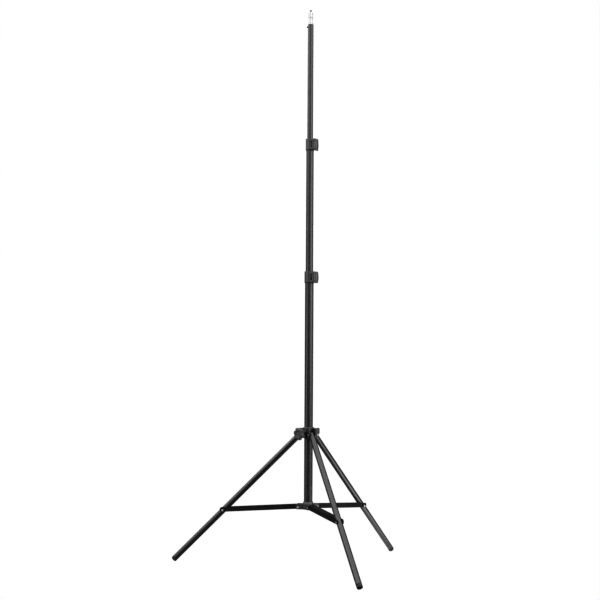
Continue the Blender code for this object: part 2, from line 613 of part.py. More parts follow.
def build_side(side, turn):
    """One leg and its brace. The brace turns on the bracket, and the leg turns on the brace."""
    frame = empty(f"{side}_side", None, (0, 0, 0), (0, 0, math.radians(turn)))
    brace_hinge = empty(f"{side}_brace_hinge", frame, (PIVOT_RADIUS, 0, BRACKET_PIVOT_Z),
                        (0, BRACE_DROP, 0))
    build_brace(f"{side}_brace", brace_hinge)
    span = BRACE_HALF + GAP
    joint = place(f"{side}_joint_rivet",
                  turned("joint_rivet", rounded_rivet(-span, span), "Y", segments=SMALL_ROUND),
                  brace_hinge, "bright_steel")
    joint.location = (BRACE_LENGTH, 0, 0)

    leg_hinge = empty(f"{side}_leg_hinge", frame, (LEG_PIVOT_X, 0, LEG_PIVOT_Z), (0, LEG_TILT, 0))
    inner = LEG_R - LEG_WALL
    top = -(LEG_UPPER + 3.5 * MM)
    foot_start = LEG_LOWER - FOOT_LENGTH
    tube = place(f"{side}_leg_tube", pipe(f"{side}_leg_tube", top, foot_start - GAP, LEG_R, inner,
                                          "X"), leg_hinge, "black_tube")
    combine(tube, rod("joint_hole", -LEG_R - MM, LEG_R + MM, RIVET_R + GAP, "Y",
                      segments=SMALL_ROUND))
    stem = inner - GAP
    place(f"{side}_leg_plug", turned(f"{side}_leg_plug", [
        (top - 2.5 * MM, 0.0), (top - 2.5 * MM, LEG_R - 1.2 * MM), (top - 1.5 * MM, LEG_R - 0.2 * MM),
        (top - GAP, LEG_R - 0.2 * MM), (top - GAP, stem), (top + 14 * MM, stem), (top + 14 * MM, 0.0)],
        "X"), leg_hinge, "black_plastic")
    shoulder = [(foot_start, FOOT_R), (foot_start, stem), (foot_start - 18 * MM, stem),
                (foot_start - 18 * MM, 0.0)]
    place(f"{side}_foot", turned(f"{side}_foot", foot_profile() + shoulder, "X"), leg_hinge, "rubber")


def main():
    clear_scene()
    column, slider = empty("column_frame"), empty("collar_slide")
    mid, top = empty("mid_slide"), empty("top_slide")
    main_tube, mid_tube, top_tube = build_tubes(column, mid, top)
    build_bushes(column, mid, top)
    build_spigot(top, top_tube)
    build_clamp("lower", LOWER_CLAMP_Z, MAIN_R, MID_R, column, main_tube)
    build_clamp("upper", UPPER_CLAMP_Z, MID_R, TOP_R, mid, mid_tube)
    build_bracket(column, main_tube)
    build_collar(slider)
    for side, turn in SIDES.items():
        build_side(side, turn)


main()
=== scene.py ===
"""Looks of a folding light stand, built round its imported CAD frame.

Metres, +Z up, origin on the floor under the column. Each CAD node is replaced by a finer piece made
here in its place, which rides on the node's own body. Sizes follow the CAD's, but for the braces'
outer ends, which are 4.5 mm shorter, and the upper lever, which differs by up to 1.5 mm. Threads
and other relief too fine for the CAD are only here.
"""

import json
import math

import bmesh
import bpy
from mathutils import Matrix, Vector


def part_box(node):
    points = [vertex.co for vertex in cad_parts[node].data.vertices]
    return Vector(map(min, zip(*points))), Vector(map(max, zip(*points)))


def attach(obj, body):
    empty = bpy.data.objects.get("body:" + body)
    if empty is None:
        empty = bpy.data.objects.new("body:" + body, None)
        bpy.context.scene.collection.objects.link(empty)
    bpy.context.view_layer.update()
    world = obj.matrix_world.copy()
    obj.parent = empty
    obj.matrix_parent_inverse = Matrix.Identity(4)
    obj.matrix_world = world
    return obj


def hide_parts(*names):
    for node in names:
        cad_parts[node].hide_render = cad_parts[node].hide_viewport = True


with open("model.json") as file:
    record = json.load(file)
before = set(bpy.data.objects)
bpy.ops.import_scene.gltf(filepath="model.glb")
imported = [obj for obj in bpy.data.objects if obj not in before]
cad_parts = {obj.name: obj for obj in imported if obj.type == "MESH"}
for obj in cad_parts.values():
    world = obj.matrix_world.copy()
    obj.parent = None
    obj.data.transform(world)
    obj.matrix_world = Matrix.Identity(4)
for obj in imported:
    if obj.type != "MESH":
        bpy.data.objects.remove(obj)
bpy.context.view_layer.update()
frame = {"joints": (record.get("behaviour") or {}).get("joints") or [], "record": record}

MM = 0.001
GAP = 0.3 * MM
ROUND, MIDDLE_ROUND, SMALL_ROUND = 96, 64, 40       # sides of a round piece, by its size
MAIN_R, MID_R, TOP_R, LEG_R = 15.0 * MM, 13.0 * MM, 10.0 * MM, 10.0 * MM
TUBE_WALL = 1.2 * MM

# Where things stand round the column. The clamps' pins are measured from their levers' side.
SIDES = {"front": -90.0, "right": 30.0, "left": 150.0}
LEVER_SIDE = math.radians(-20.0)
LEVER_PIN_TURN = math.radians(-52.0)
SPIGOT_SCREW_TURN, CLAMP_SCREW_TURN = math.radians(160.0), math.radians(90.0)
KNOB_TURN = math.radians(210.0)

record = frame["record"]
BODY_OF = {node: body for body, nodes in record["behaviour"]["bodies"].items() for node in nodes}
SLOT_OF = {part["node"]: part["material_slot"] for part in record["subparts"]}
JOINTS = {joint["name"]: joint for joint in frame["joints"]}


# ---------------------------------------------------------------- materials

def node_tree(name):
    made = bpy.data.materials.new(name)
    made.use_nodes = True
    tree = made.node_tree
    return made, tree, tree.nodes["Principled BSDF"]


def noise(tree, place, scale, detail=3.0, rough=0.55, stretch=(1, 1, 1)):
    """A noise value read at the piece's own coordinates. scale is in repeats per metre."""
    spread = tree.nodes.new("ShaderNodeMapping")
    spread.inputs["Scale"].default_value = stretch
    tree.links.new(place.outputs["Vector"], spread.inputs["Vector"])
    made = tree.nodes.new("ShaderNodeTexNoise")
    made.inputs["Scale"].default_value = scale
    made.inputs["Detail"].default_value = detail
    made.inputs["Roughness"].default_value = rough
    tree.links.new(spread.outputs["Vector"], made.inputs["Vector"])
    return made.outputs["Fac"]


def ramp(tree, value, low, high, start, end):
    """Map value from low..high to start..end, clamped."""
    made = tree.nodes.new("ShaderNodeMapRange")
    for name, number in (("From Min", low), ("From Max", high), ("To Min", start), ("To Max", end)):
        made.inputs[name].default_value = number
    tree.links.new(value, made.inputs["Value"])
    return made.outputs["Result"]


def mixed(tree, factor, first, second):
    made = tree.nodes.new("ShaderNodeMix")
    made.data_type = "RGBA"
    tree.links.new(factor, made.inputs["Factor"])
    for socket, colour in ((made.inputs["A"], first), (made.inputs["B"], second)):
        if isinstance(colour, tuple):
            socket.default_value = (*colour, 1.0)
        else:
            tree.links.new(colour, socket)
    return made.outputs["Result"]


def added(tree, first, second, share):
    """first + share * second"""
    made = tree.nodes.new("ShaderNodeMath")
    made.operation = "MULTIPLY_ADD"
    tree.links.new(second, made.inputs[0])
    made.inputs[1].default_value = share
    tree.links.new(first, made.inputs[2])
    return made.outputs["Value"]


def multiplied(tree, first, second):
    made = tree.nodes.new("ShaderNodeMath")
    made.operation = "MULTIPLY"
    tree.links.new(first, made.inputs[0])
    tree.links.new(second, made.inputs[1])
    return made.outputs["Value"]


def bump(tree, shader, height, depth, strength):
    made = tree.nodes.new("ShaderNodeBump")
    made.inputs["Distance"].default_value = depth
    made.inputs["Strength"].default_value = strength
    tree.links.new(height, made.inputs["Height"])
    tree.links.new(made.outputs["Normal"], shader.inputs["Normal"])


def coordinates(tree):
    """The piece's own coordinates, which its mesh carries in an attribute."""
    made = tree.nodes.new("ShaderNodeAttribute")
    made.attribute_name = "local"
    return made


def coated_metal(name, dark, light, roughness, specular, drawn=(1, 1, 1), scuffs=0.06):
    """Satin black coat on metal: cloudy sheen, a fine tooth, and a few faint rubs. drawn stretches
    the tooth and the rubs along a tube."""
    made, tree, shader = node_tree(name)
    place = coordinates(tree)
    cloud = noise(tree, place, 22.0, 4.0)
    tooth = noise(tree, place, 900.0, 2.0, 0.6, drawn)
    rub = noise(tree, place, 140.0, 6.0, 0.7, drawn)
    colour = mixed(tree, ramp(tree, cloud, 0.35, 0.65, 0.0, 1.0), dark, light)
    worn = ramp(tree, rub, 0.66, 0.80, 0.0, scuffs)
    colour = mixed(tree, worn, colour, tuple(channel * 2.6 for channel in light))
    tree.links.new(colour, shader.inputs["Base Color"])
    sheen = ramp(tree, cloud, 0.3, 0.7, roughness - 0.02, roughness + 0.03)
    tree.links.new(added(tree, sheen, tooth, 0.06), shader.inputs["Roughness"])
    shader.inputs["Specular IOR Level"].default_value = specular
    bump(tree, shader, tooth, 0.00002, 0.4)
    return made


def moulded(name, dark, light, roughness, grain=1500.0, depth=0.00006):
    """Moulded plastic or rubber with a spark-eroded grain."""
    made, tree, shader = node_tree(name)
    place = coordinates(tree)
    cloud = noise(tree, place, 45.0, 3.0)
    pits = noise(tree, place, grain, 2.0, 0.5)
    tree.links.new(mixed(tree, cloud, dark, light), shader.inputs["Base Color"])
    sheen = ramp(tree, cloud, 0.3, 0.7, roughness - 0.05, roughness + 0.05)
    tree.links.new(added(tree, sheen, pits, 0.12), shader.inputs["Roughness"])
    shader.inputs["Specular IOR Level"].default_value = 0.45
    bump(tree, shader, pits, depth, 0.6)
    return made


def bare_metal(name, dark, light, roughness, rings=0.0):
    """Plated or turned metal: dulled patches, and tool rings round the axis where it is turned."""
    made, tree, shader = node_tree(name)
    place = coordinates(tree)
    cloud = noise(tree, place, 160.0, 4.0)
    fine = noise(tree, place, 2200.0, 2.0)
    tree.links.new(mixed(tree, cloud, dark, light), shader.inputs["Base Color"])
    shader.inputs["Metallic"].default_value = 1.0
    sheen = ramp(tree, cloud, 0.3, 0.7, roughness - 0.05, roughness + 0.07)
    tree.links.new(added(tree, sheen, fine, 0.08), shader.inputs["Roughness"])
    if rings:
        wave = tree.nodes.new("ShaderNodeTexWave")
        wave.bands_direction = "Z"
        wave.inputs["Scale"].default_value = rings
        wave.inputs["Distortion"].default_value = 0.6
        tree.links.new(place.outputs["Vector"], wave.inputs["Vector"])
        bump(tree, shader, wave.outputs["Fac"], 0.00002, 0.35)
    else:
        bump(tree, shader, fine, 0.00002, 0.4)
    return made


LOOKS = {
    "black_tube": coated_metal(
        "black_tube_look", dark=(0.0055, 0.0058, 0.0062), light=(0.0075, 0.0078, 0.0082),
        roughness=0.34, specular=0.5, drawn=(6, 6, 0.25)),
    "black_steel": coated_metal(
        "black_steel_look", dark=(0.012, 0.012, 0.0124), light=(0.016, 0.016, 0.0164),
        roughness=0.45, specular=0.006),
    "black_plastic": moulded(
        "black_plastic_look", dark=(0.018, 0.0182, 0.0186), light=(0.024, 0.0242, 0.0246),
        roughness=0.42),
    "grey_plastic": moulded(
        "grey_plastic_look", dark=(0.060, 0.061, 0.064), light=(0.085, 0.087, 0.090),
        roughness=0.55),
    "bright_steel": bare_metal(
        "bright_steel_look", dark=(0.20, 0.20, 0.205), light=(0.26, 0.26, 0.26), roughness=0.60),
    "aluminium": bare_metal(
        "aluminium_look", dark=(0.24, 0.24, 0.244), light=(0.27, 0.27, 0.27), roughness=0.55,
        rings=260.0),
    "rubber": moulded(
        "rubber_look", dark=(0.010, 0.010, 0.011), light=(0.017, 0.017, 0.018), roughness=0.78,
        grain=700.0, depth=0.00009),
}


# ---------------------------------------------------------------- mesh helpers

def rounded(points, radius, steps=4):
    """Round an outline's corners. A third number on a point is its own radius."""
    straight, most = math.pi - 0.05, 0.48       # of a corner, and of the shorter edge beside it
    made = []
    for index, point in enumerate(points):
        here = Vector(point[:2])
        back = Vector(points[index - 1][:2]) - here
        on = Vector(points[(index + 1) % len(points)][:2]) - here
        size = point[2] if len(point) == 3 else radius
        turn = back.angle(on, math.pi)
        if size <= 0.0 or turn > straight:
            made.append(tuple(here))
            continue
        reach = min(size / math.tan(turn / 2), most * back.length, most * on.length)
        bisector = (back.normalized() + on.normalized()).normalized()
        centre = here + bisector * (reach / math.cos(turn / 2))
        first = here + back.normalized() * reach - centre
        last = here + on.normalized() * reach - centre
        sweep = math.pi - turn
        for step in range(steps + 1):
            share = step / steps
            made.append(tuple(centre + (first * math.sin((1 - share) * sweep)
                                        + last * math.sin(share * sweep)) / math.sin(sweep)))
    return made


def arc(centre, radius, start, end, steps):
    """Points on an arc, in degrees, both ends included."""
    turns = [math.radians(start + (end - start) * i / steps) for i in range(steps + 1)]
    return [(centre[0] + radius * math.cos(turn), centre[1] + radius * math.sin(turn))
            for turn in turns]


TURN_TO = {     # turns +Z to the named axis
    "Z": Matrix.Identity(4),
    "X": Matrix.Rotation(math.pi / 2, 4, "Y"),
    "Y": Matrix.Rotation(-math.pi / 2, 4, "X"),
}


def lathe(profile, axis="Z", segments=ROUND, at=(0, 0, 0), form=None):
    """A solid of revolution from (along the axis, radius) points. form(along, radius, angle) may
    change the radius round the axis, for lobes and threads."""
    shape = bmesh.new()
    rings = []
    for along, radius in profile:
        if radius < 1e-7:
            rings.append([shape.verts.new((0, 0, along))])
            continue
        ring = []
        for step in range(segments):
            angle = 2 * math.pi * step / segments
            here = form(along, radius, angle) if form else radius
            ring.append(shape.verts.new((here * math.cos(angle), here * math.sin(angle), along)))
        rings.append(ring)
    pairs = list(zip(rings, rings[1:]))
    if len(rings[0]) > 1 and len(rings[-1]) > 1:
        pairs.append((rings[-1], rings[0]))
    for low, high in pairs:
        if len(low) == 1 and len(high) == 1:
            continue
        for step in range(segments):
            after = (step + 1) % segments
            corners = (low[step % len(low)], low[after % len(low)],
                       high[after % len(high)], high[step % len(high)])
            shape.faces.new(tuple(dict.fromkeys(corners)))
    shape.transform(Matrix.Translation(at) @ TURN_TO[axis])
    return shape


def slab(outline, low, high, rim=0.0, plane="XY"):
    """Extrude a closed outline, with both rims rounded. plane XZ extrudes along Y."""
    shape = bmesh.new()
    lower = [shape.verts.new((x, y, low)) for x, y in outline]
    upper = [shape.verts.new((x, y, high)) for x, y in outline]
    caps = [shape.faces.new(lower), shape.faces.new(upper)]
    for index in range(len(outline)):
        after = (index + 1) % len(outline)
        shape.faces.new((lower[index], lower[after], upper[after], upper[index]))
    if rim:
        edges = [edge for cap in caps for edge in cap.edges]
        bmesh.ops.bevel(shape, geom=edges, offset=rim, segments=3, profile=0.5,
                        affect="EDGES", clamp_overlap=True)
    if plane == "XZ":
        shape.transform(Matrix(((1, 0, 0, 0), (0, 0, 1, 0), (0, 1, 0, 0), (0, 0, 0, 1))))
    return shape


def block(low, high, rim=0.0):
    outline = [(low[0], low[1]), (high[0], low[1]), (high[0], high[1]), (low[0], high[1])]
    return slab(outline, low[2], high[2], rim)


def moved(shape, frame_matrix):
    shape.transform(frame_matrix)
    return shape


def to_object(name, shape):
    bmesh.ops.remove_doubles(shape, verts=shape.verts, dist=1e-7)
    bmesh.ops.recalc_face_normals(shape, faces=shape.faces)
    mesh = bpy.data.meshes.new(name)
    shape.to_mesh(mesh)
    shape.free()
    made = bpy.data.objects.new(name, mesh)
    bpy.context.collection.objects.link(made)
    return made


def combined(shape, *steps):
    """Join and cut solids: each step is ("UNION" or "DIFFERENCE", shape). Gives a new shape."""
    target = to_object("work", shape)
    tools = []
    for operation, tool in steps:
        tools.append(to_object("tool", tool))
        step = target.modifiers.new("step", "BOOLEAN")
        step.operation, step.object, step.solver = operation, tools[-1], "EXACT"
    bpy.context.view_layer.update()
    graph = bpy.context.evaluated_depsgraph_get()
    mesh = bpy.data.meshes.new_from_object(target.evaluated_get(graph))
    made = bmesh.new()
    made.from_mesh(mesh)
    for item in (target, *tools):
        old = item.data
        bpy.data.objects.remove(item, do_unlink=True)
        bpy.data.meshes.remove(old)
    bpy.data.meshes.remove(mesh)
    return made


def piece(node, shape, at=None, sharp=32.0):
    """Finish a shape and put it in place of its CAD node. The mesh keeps its own coordinates in an
    attribute, so that its material's grain stays with it. sharp is in degrees."""
    made = to_object(f"{node}_fine", shape)
    mesh = made.data
    mesh.shade_smooth()
    mesh.set_sharp_from_angle(angle=math.radians(sharp))
    local = mesh.attributes.new("local", "FLOAT_VECTOR", "POINT")
    local.data.foreach_set("vector", [number for vertex in mesh.vertices for number in vertex.co])
    mesh.materials.append(LOOKS[SLOT_OF[node]])
    mesh.transform(at or Matrix.Identity(4))
    even = made.modifiers.new("even_normals", "WEIGHTED_NORMAL")
    even.keep_sharp = True
    even.weight = 80
    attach(made, BODY_OF[node])
    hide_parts(node)


def lowest(node):
    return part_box(node)[0]


def highest(node):
    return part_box(node)[1]


def turned_about_z(angle, height=0.0):
    return Matrix.Translation((0, 0, height)) @ Matrix.Rotation(angle, 4, "Z")


def turned_to(side):
    return Matrix.Rotation(math.radians(SIDES[side]), 4, "Z")


def thread_crest(along, angle, pitch):
    """1 on the crests of a thread and 0 at its root. along is measured from the thread's start."""
    turn = (along / pitch - angle / (2 * math.pi)) % 1.0
    return min(1.0, max(0.0, 1.7 * (1 - abs(2 * turn - 1)) - 0.25))


# ---------------------------------------------------------------- column

def build_tube(node, outer, top_lip=0.25 * MM):
    start, end = lowest(node).z, highest(node).z
    inner = outer - TUBE_WALL
    profile = rounded([(start, inner), (start, outer), (end, outer, top_lip), (end, inner)],
                      0.2 * MM, 4)
    piece(node, lathe(profile))


def build_bushes():
    """The flanged bushes that guide the two upper tubes, and the plug at the column's foot."""
    for node, inner in (("mid_tube_bush", 9.2 * MM), ("top_tube_bush", 6.2 * MM)):
        start, end = lowest(node).z, highest(node).z
        flange = highest(node).x
        stem = inner + 2.3 * MM
        profile = rounded([(start, inner), (start, flange, 0.8 * MM), (start + 9.7 * MM, flange),
                           (start + 9.7 * MM, stem), (end, stem), (end, inner)], 0.25 * MM, 3)
        piece(node, lathe(profile))
    start, end = lowest("bottom_plug").z, highest("bottom_plug").z
    rim = highest("bottom_plug").x
    stem = 13.5 * MM
    profile = rounded([(start, 0.0, 0.0), (start, 8.0 * MM, 0.0), (start + 0.5 * MM, 8.6 * MM),
                       (start, 9.4 * MM), (start, rim, 0.9 * MM), (start + 1.7 * MM, rim),
                       (start + 1.7 * MM, stem), (end, stem), (end, stem - 2 * MM),
                       (start + 3 * MM, stem - 2 * MM), (start + 3 * MM, 0.0, 0.0)], 0.25 * MM, 3)
    piece("bottom_plug", lathe(profile))


def build_spigot():
    """Turned spigot: a waist in its side, a shoulder, and a threaded stud."""
    base, top = lowest("spigot").z, highest("spigot").z
    shoulder = top - 10 * MM
    tube_end = highest("top_tube").z + GAP
    radius, waist, stud, pitch = 8.0 * MM, 7.0 * MM, 3.2 * MM, 1.27 * MM
    root, fade = stud - 0.65 * MM, 0.8 * MM
    outline = [
        (base, 0.0, 0.0), (base, 8.5 * MM), (tube_end - 1.5 * MM, 8.5 * MM),
        (tube_end - 1.5 * MM, radius), (tube_end + 10 * MM, radius),
        (tube_end + 12 * MM, waist), (tube_end + 24 * MM, waist), (tube_end + 26 * MM, radius),
        (shoulder - 0.7 * MM, radius), (shoulder, radius - 0.7 * MM),
        (shoulder, stud - 0.3 * MM, 0.2 * MM)]
    profile = rounded(outline + [(top, stud), (top, 0.0, 0.0)], 0.35 * MM, 4)
    # The rows of the thread take the place of the stud's plain side and end.
    profile = profile[:-7]
    rows = 8 * int((top - shoulder) / pitch)
    for row in range(1, rows + 1):
        profile.append((shoulder + (top - shoulder) * row / rows, stud))
    profile.append((top, 0.0))

    def threaded(along, radius_here, angle):
        if along < shoulder + 0.3 * MM or radius_here > stud + 1e-6:
            return radius_here
        end = min(1.0, (top - along) / fade)
        return root + (stud - root) * thread_crest(along - shoulder, angle, pitch) * end

    piece("spigot", lathe(profile, form=threaded), sharp=50.0)


def cross_recess(across, width, depth_from, depth_to):
    """Two crossing slots, for the head of a screw that points along +X."""
    reach = across / 2
    half = width / 2
    return combined(block((depth_from, -reach, -half), (depth_to, reach, half)),
                    ("UNION", block((depth_from, -half, -reach), (depth_to, half, reach))))


def build_screws():
    """The small screws that hold the clamps and the spigot, with domed cross-recessed heads."""
    shank, radius = 1.4 * MM, 3.0 * MM
    for node, turn, tip, end, height in (
            ("lower_clamp_screw", CLAMP_SCREW_TURN, 13.85 * MM, 19.2 * MM, 1.6 * MM),
            ("upper_clamp_screw", CLAMP_SCREW_TURN, 11.85 * MM, 17.2 * MM, 1.6 * MM),
            ("spigot_screw", SPIGOT_SCREW_TURN, 8.8 * MM, 13.4 * MM, 3.4 * MM)):
        face = end - height
        head = [(tip, 0.0, 0.0), (tip, shank), (face, shank, 0.0), (face, radius),
                (end - 0.55 * height, radius), (end, radius * 0.55, 0.9 * MM), (end, 0.0, 0.0)]
        shape = combined(lathe(rounded(head, 0.25 * MM, 3), "X", SMALL_ROUND),
                         ("DIFFERENCE", cross_recess(3.0 * MM, 0.7 * MM, end - 1.0 * MM, end + MM)))
        piece(node, shape, turned_about_z(turn, (lowest(node).z + highest(node).z) / 2))


# ---------------------------------------------------------------- clamps

CLAMP_HEIGHT, CLAMP_WALL = 43.0 * MM, 2.0 * MM
SHOE_HALF, SHOE_LOW = 5.0 * MM, 19.0 * MM
LUG_R, LUG_HEIGHT, LUG_INSET = 7.0 * MM, 5.0 * MM, 4.5 * MM
LEVER_BOSS_R, LEVER_PIN_R, LEVER_PIN_INSET = 6.0 * MM, 1.6 * MM, 2.0 * MM
LEVER_CENTRE = (-4.5 * MM, 17.0 * MM)
LEVER_BEND_R = math.hypot(*LEVER_CENTRE)
LEVER_HALF, LEVER_RIM = 2.2 * MM, 0.9 * MM
LEVER_CROWN = {"lower": 2.6 * MM, "upper": 1.4 * MM}
LEVER_LOW, LEVER_HIGH, LEVER_STEPS = 1.5 * MM, 41.5 * MM, 110
LEVER_WEB = (0.4 * MM, 2.7 * MM)    # from the handle's lower or upper end


def lug_outline(pin, ring_r):
    """Plan of the ears that hold the pin: round at the pin, and drawn in to the ring."""
    root_r = ring_r - 4.0 * MM
    turn = math.degrees(math.atan2(pin[1], pin[0]))
    lean = math.degrees(math.acos((root_r - LUG_R) / math.hypot(*pin)))
    return (arc(pin, LUG_R, turn - lean, turn + lean, 28)
            + arc((0, 0), root_r, turn + lean, turn - lean + 360, 40))


def smooth_step(value):
    share = max(0.0, min(1.0, value))
    return share * share * (3 - 2 * share)


def lever_outline(crown, inset):
    """Outer and inner edge of the handle's plan, with as many points each: a band on an arc that
    starts round the pin, ribbed for the finger near its end, with a lip to pull it by. crown
    thickens it outwards towards the tip."""
    outer, inner = [], []
    for step in range(LEVER_STEPS + 1):
        turn = -92.0 + 119.0 * step / LEVER_STEPS
        ribbed = smooth_step((turn + 16) / 5) * smooth_step((18 - turn) / 4)
        rib = 0.35 * MM * ribbed * (0.5 + 0.5 * math.cos(2 * math.pi * (turn + 14) / 5.5))
        tip = smooth_step((turn - 25.2) / 1.8)
        lip = 1.2 * MM * smooth_step((turn - 18) / 6) - 2.6 * MM * tip
        bulge = crown * smooth_step((turn + 65) / 60) * (1 - 0.4 * tip)
        outer.append((turn, LEVER_BEND_R + LEVER_HALF + bulge + lip - rib - inset))
        turn = -78.0 + 104.6 * step / LEVER_STEPS
        lip = 1.6 * MM * smooth_step((turn - 20) / 6)
        inner.append((turn, LEVER_BEND_R - LEVER_HALF + lip + inset))
    return [[(LEVER_CENTRE[0] + radius * math.cos(math.radians(turn)),
              LEVER_CENTRE[1] + radius * math.sin(math.radians(turn))) for turn, radius in edge]
            for edge in (outer, inner)]


def lever_band(level):
    """The handle's curved plate, with soft rims, fullest at half its height."""
    rims = []
    for step in range(5):
        turn = math.pi / 2 * step / 4
        rims.append((LEVER_RIM * (1 - math.cos(turn)), LEVER_RIM * (1 - math.sin(turn))))
    middle, half = (LEVER_LOW + LEVER_HIGH) / 2, (LEVER_HIGH - LEVER_LOW) / 2
    stack = [(LEVER_LOW + rise, inset) for rise, inset in rims]
    stack += [(middle + (half - LEVER_RIM) * step / 8, 0.0) for step in range(-7, 8)]
    stack += [(LEVER_HIGH - rise, inset) for rise, inset in reversed(rims)]
    shape = bmesh.new()
    loops = []
    for height, inset in stack:
        crown = LEVER_CROWN[level] * (1 - ((height - middle) / half) ** 2)
        outer, inner = lever_outline(crown, inset)
        loops.append([shape.verts.new((x, y, height)) for x, y in outer + inner[::-1]])
    count = len(loops[0])
    for near, far in zip(loops, loops[1:]):
        for index in range(count):
            after = (index + 1) % count
            shape.faces.new((near[index], near[after], far[after], far[index]))
    for loop in (loops[0], loops[-1]):
        for index in range(LEVER_STEPS):
            shape.faces.new((loop[index], loop[index + 1], loop[count - 2 - index],
                             loop[count - 1 - index]))
    bmesh.ops.triangulate(shape, faces=shape.faces[:])
    return shape


def build_clamp(level, tube_r, slider_r):
    """The clamp on top of a tube, and its flip lever. slider_r is the tube that slides in it."""
    collar = f"{level}_clamp_collar"
    base = lowest(collar).z
    bore = tube_r + GAP
    outer = bore + CLAMP_WALL
    at = turned_about_z(LEVER_SIDE, base)
    reach = outer + 1.0 * MM + LEVER_BOSS_R
    pin = (reach * math.cos(LEVER_PIN_TURN), reach * math.sin(LEVER_PIN_TURN))
    lug_high = LUG_INSET + LUG_HEIGHT
    shoe_high = CLAMP_HEIGHT - lug_high - 1.5 * MM
    pin_side = Matrix.Rotation(LEVER_PIN_TURN, 4, "Z")

    ring = [(0.0, bore), (0.0, outer - 1.6 * MM, 0.5 * MM), (4 * MM, outer, 3 * MM),
            (CLAMP_HEIGHT, outer, 1.3 * MM), (CLAMP_HEIGHT, bore, 0.3 * MM)]
    lug = lug_outline(pin, outer)
    steps = []
    for start in (LUG_INSET, CLAMP_HEIGHT - lug_high):
        steps.append(("UNION", slab(lug, start, start + LUG_HEIGHT, 0.8 * MM)))
    steps.append(("DIFFERENCE", lathe([(-MM, 0.0), (-MM, bore), (CLAMP_HEIGHT + MM, bore),
                                       (CLAMP_HEIGHT + MM, 0.0)])))
    steps.append(("DIFFERENCE", moved(block((bore - 3 * MM, -SHOE_HALF, SHOE_LOW),
                                            (outer + 3 * MM, SHOE_HALF, shoe_high)), pin_side)))
    piece(collar, combined(lathe(rounded(ring, 0.4 * MM, 4)), *steps), at)

    liner_low, liner_high = 16.3 * MM, CLAMP_HEIGHT - 0.6 * MM
    liner = [(liner_low, slider_r + GAP), (liner_low, bore - GAP), (liner_high, bore - GAP),
             (liner_high, slider_r + GAP)]
    piece(f"{level}_clamp_liner", lathe(rounded(liner, 0.3 * MM, 3)), at)
    shoe = block((bore + 0.1 * MM, GAP - SHOE_HALF, SHOE_LOW + GAP),
                 (outer + 0.7 * MM, SHOE_HALF - GAP, shoe_high - GAP), 0.4 * MM)
    piece(f"{level}_clamp_shoe", moved(shoe, pin_side), at)

    low_z, high_z = LEVER_PIN_INSET, CLAMP_HEIGHT - LEVER_PIN_INSET
    ends = [(low_z, 0.0, 0.0), (low_z, LEVER_PIN_R), (high_z, LEVER_PIN_R), (high_z, 0.0, 0.0)]
    piece(f"{level}_lever_pin", lathe(rounded(ends, 0.5 * MM, 4), segments=SMALL_ROUND,
                                      at=(*pin, 0)), at)

    def disc(start, end, radius):
        return lathe([(start, 0.0), (start, radius), (end, radius), (end, 0.0)],
                     segments=MIDDLE_ROUND)

    web = (arc(LEVER_CENTRE, LEVER_BEND_R, -70, 20, 45)
           + arc((-pin[0], -pin[1]), outer + 0.8 * MM, 6, -38, 22))
    near, far = LEVER_WEB
    post = [(LEVER_LOW + 0.5 * MM, 0.0, 0.0), (LEVER_LOW + 0.5 * MM, LEVER_BOSS_R),
            (LEVER_HIGH - 0.5 * MM, LEVER_BOSS_R), (LEVER_HIGH - 0.5 * MM, 0.0, 0.0)]
    room = LUG_R + 0.6 * MM
    handle = combined(
        lever_band(level),
        ("UNION", slab(web, LEVER_LOW + near, LEVER_LOW + far)),
        ("UNION", slab(web, LEVER_HIGH - far, LEVER_HIGH - near)),
        ("UNION", lathe(rounded(post, 0.6 * MM, 4), segments=MIDDLE_ROUND)),
        ("DIFFERENCE", disc(LUG_INSET - 0.5 * MM, lug_high + 0.4 * MM, room)),
        ("DIFFERENCE", disc(CLAMP_HEIGHT - lug_high - 0.4 * MM,
                            CLAMP_HEIGHT - LUG_INSET + 0.5 * MM, room)),
        ("DIFFERENCE", disc(LEVER_LOW - MM, LEVER_HIGH + MM, LEVER_PIN_R + GAP)))
    hinge = Vector(JOINTS[f"{level}_lever_hinge"]["pos_m"])
    piece(f"{level}_lever", handle,
          Matrix.Translation((hinge.x, hinge.y, base)) @ Matrix.Rotation(LEVER_SIDE, 4, "Z"))


# ---------------------------------------------------------------- bracket, collar and knob

BRACE_HALF, BRACE_WALL, FORK_WALL = 11.6 * MM, 1.2 * MM, 3.1 * MM
BORE_R = MAIN_R + GAP
RING_R = 19.5 * MM                  # of the bracket and of the leg collar
CHEEK_ROOT_X = 12.0 * MM            # inside the ring, where the bore trims the cheeks
LEG_CLEARANCE = 0.4 * MM            # between a leg's upper end and its fork
KNOB_HOLE_R = 4.3 * MM
BRACKET_PIVOT_Z = JOINTS["front_brace_hinge"]["pos_m"][2]
PIVOT_RADIUS = -JOINTS["front_brace_hinge"]["pos_m"][1]
COLLAR_PIVOT_Z = (lowest("front_leg_rivet_a").z + highest("front_leg_rivet_a").z) / 2


def forks(outline, inside):
    """Both cheeks of the three forks, as steps to join."""
    steps = []
    for side in SIDES:
        for hand in (-1, 1):
            start, end = sorted((hand * inside, hand * (inside + FORK_WALL)))
            steps.append(("UNION", moved(slab(outline, start, end, 0.8 * MM, "XZ"),
                                         turned_to(side))))
    return steps


def bore_cut(start, end):
    return ("DIFFERENCE", lathe([(start, 0.0), (start, BORE_R), (end, BORE_R), (end, 0.0)]))


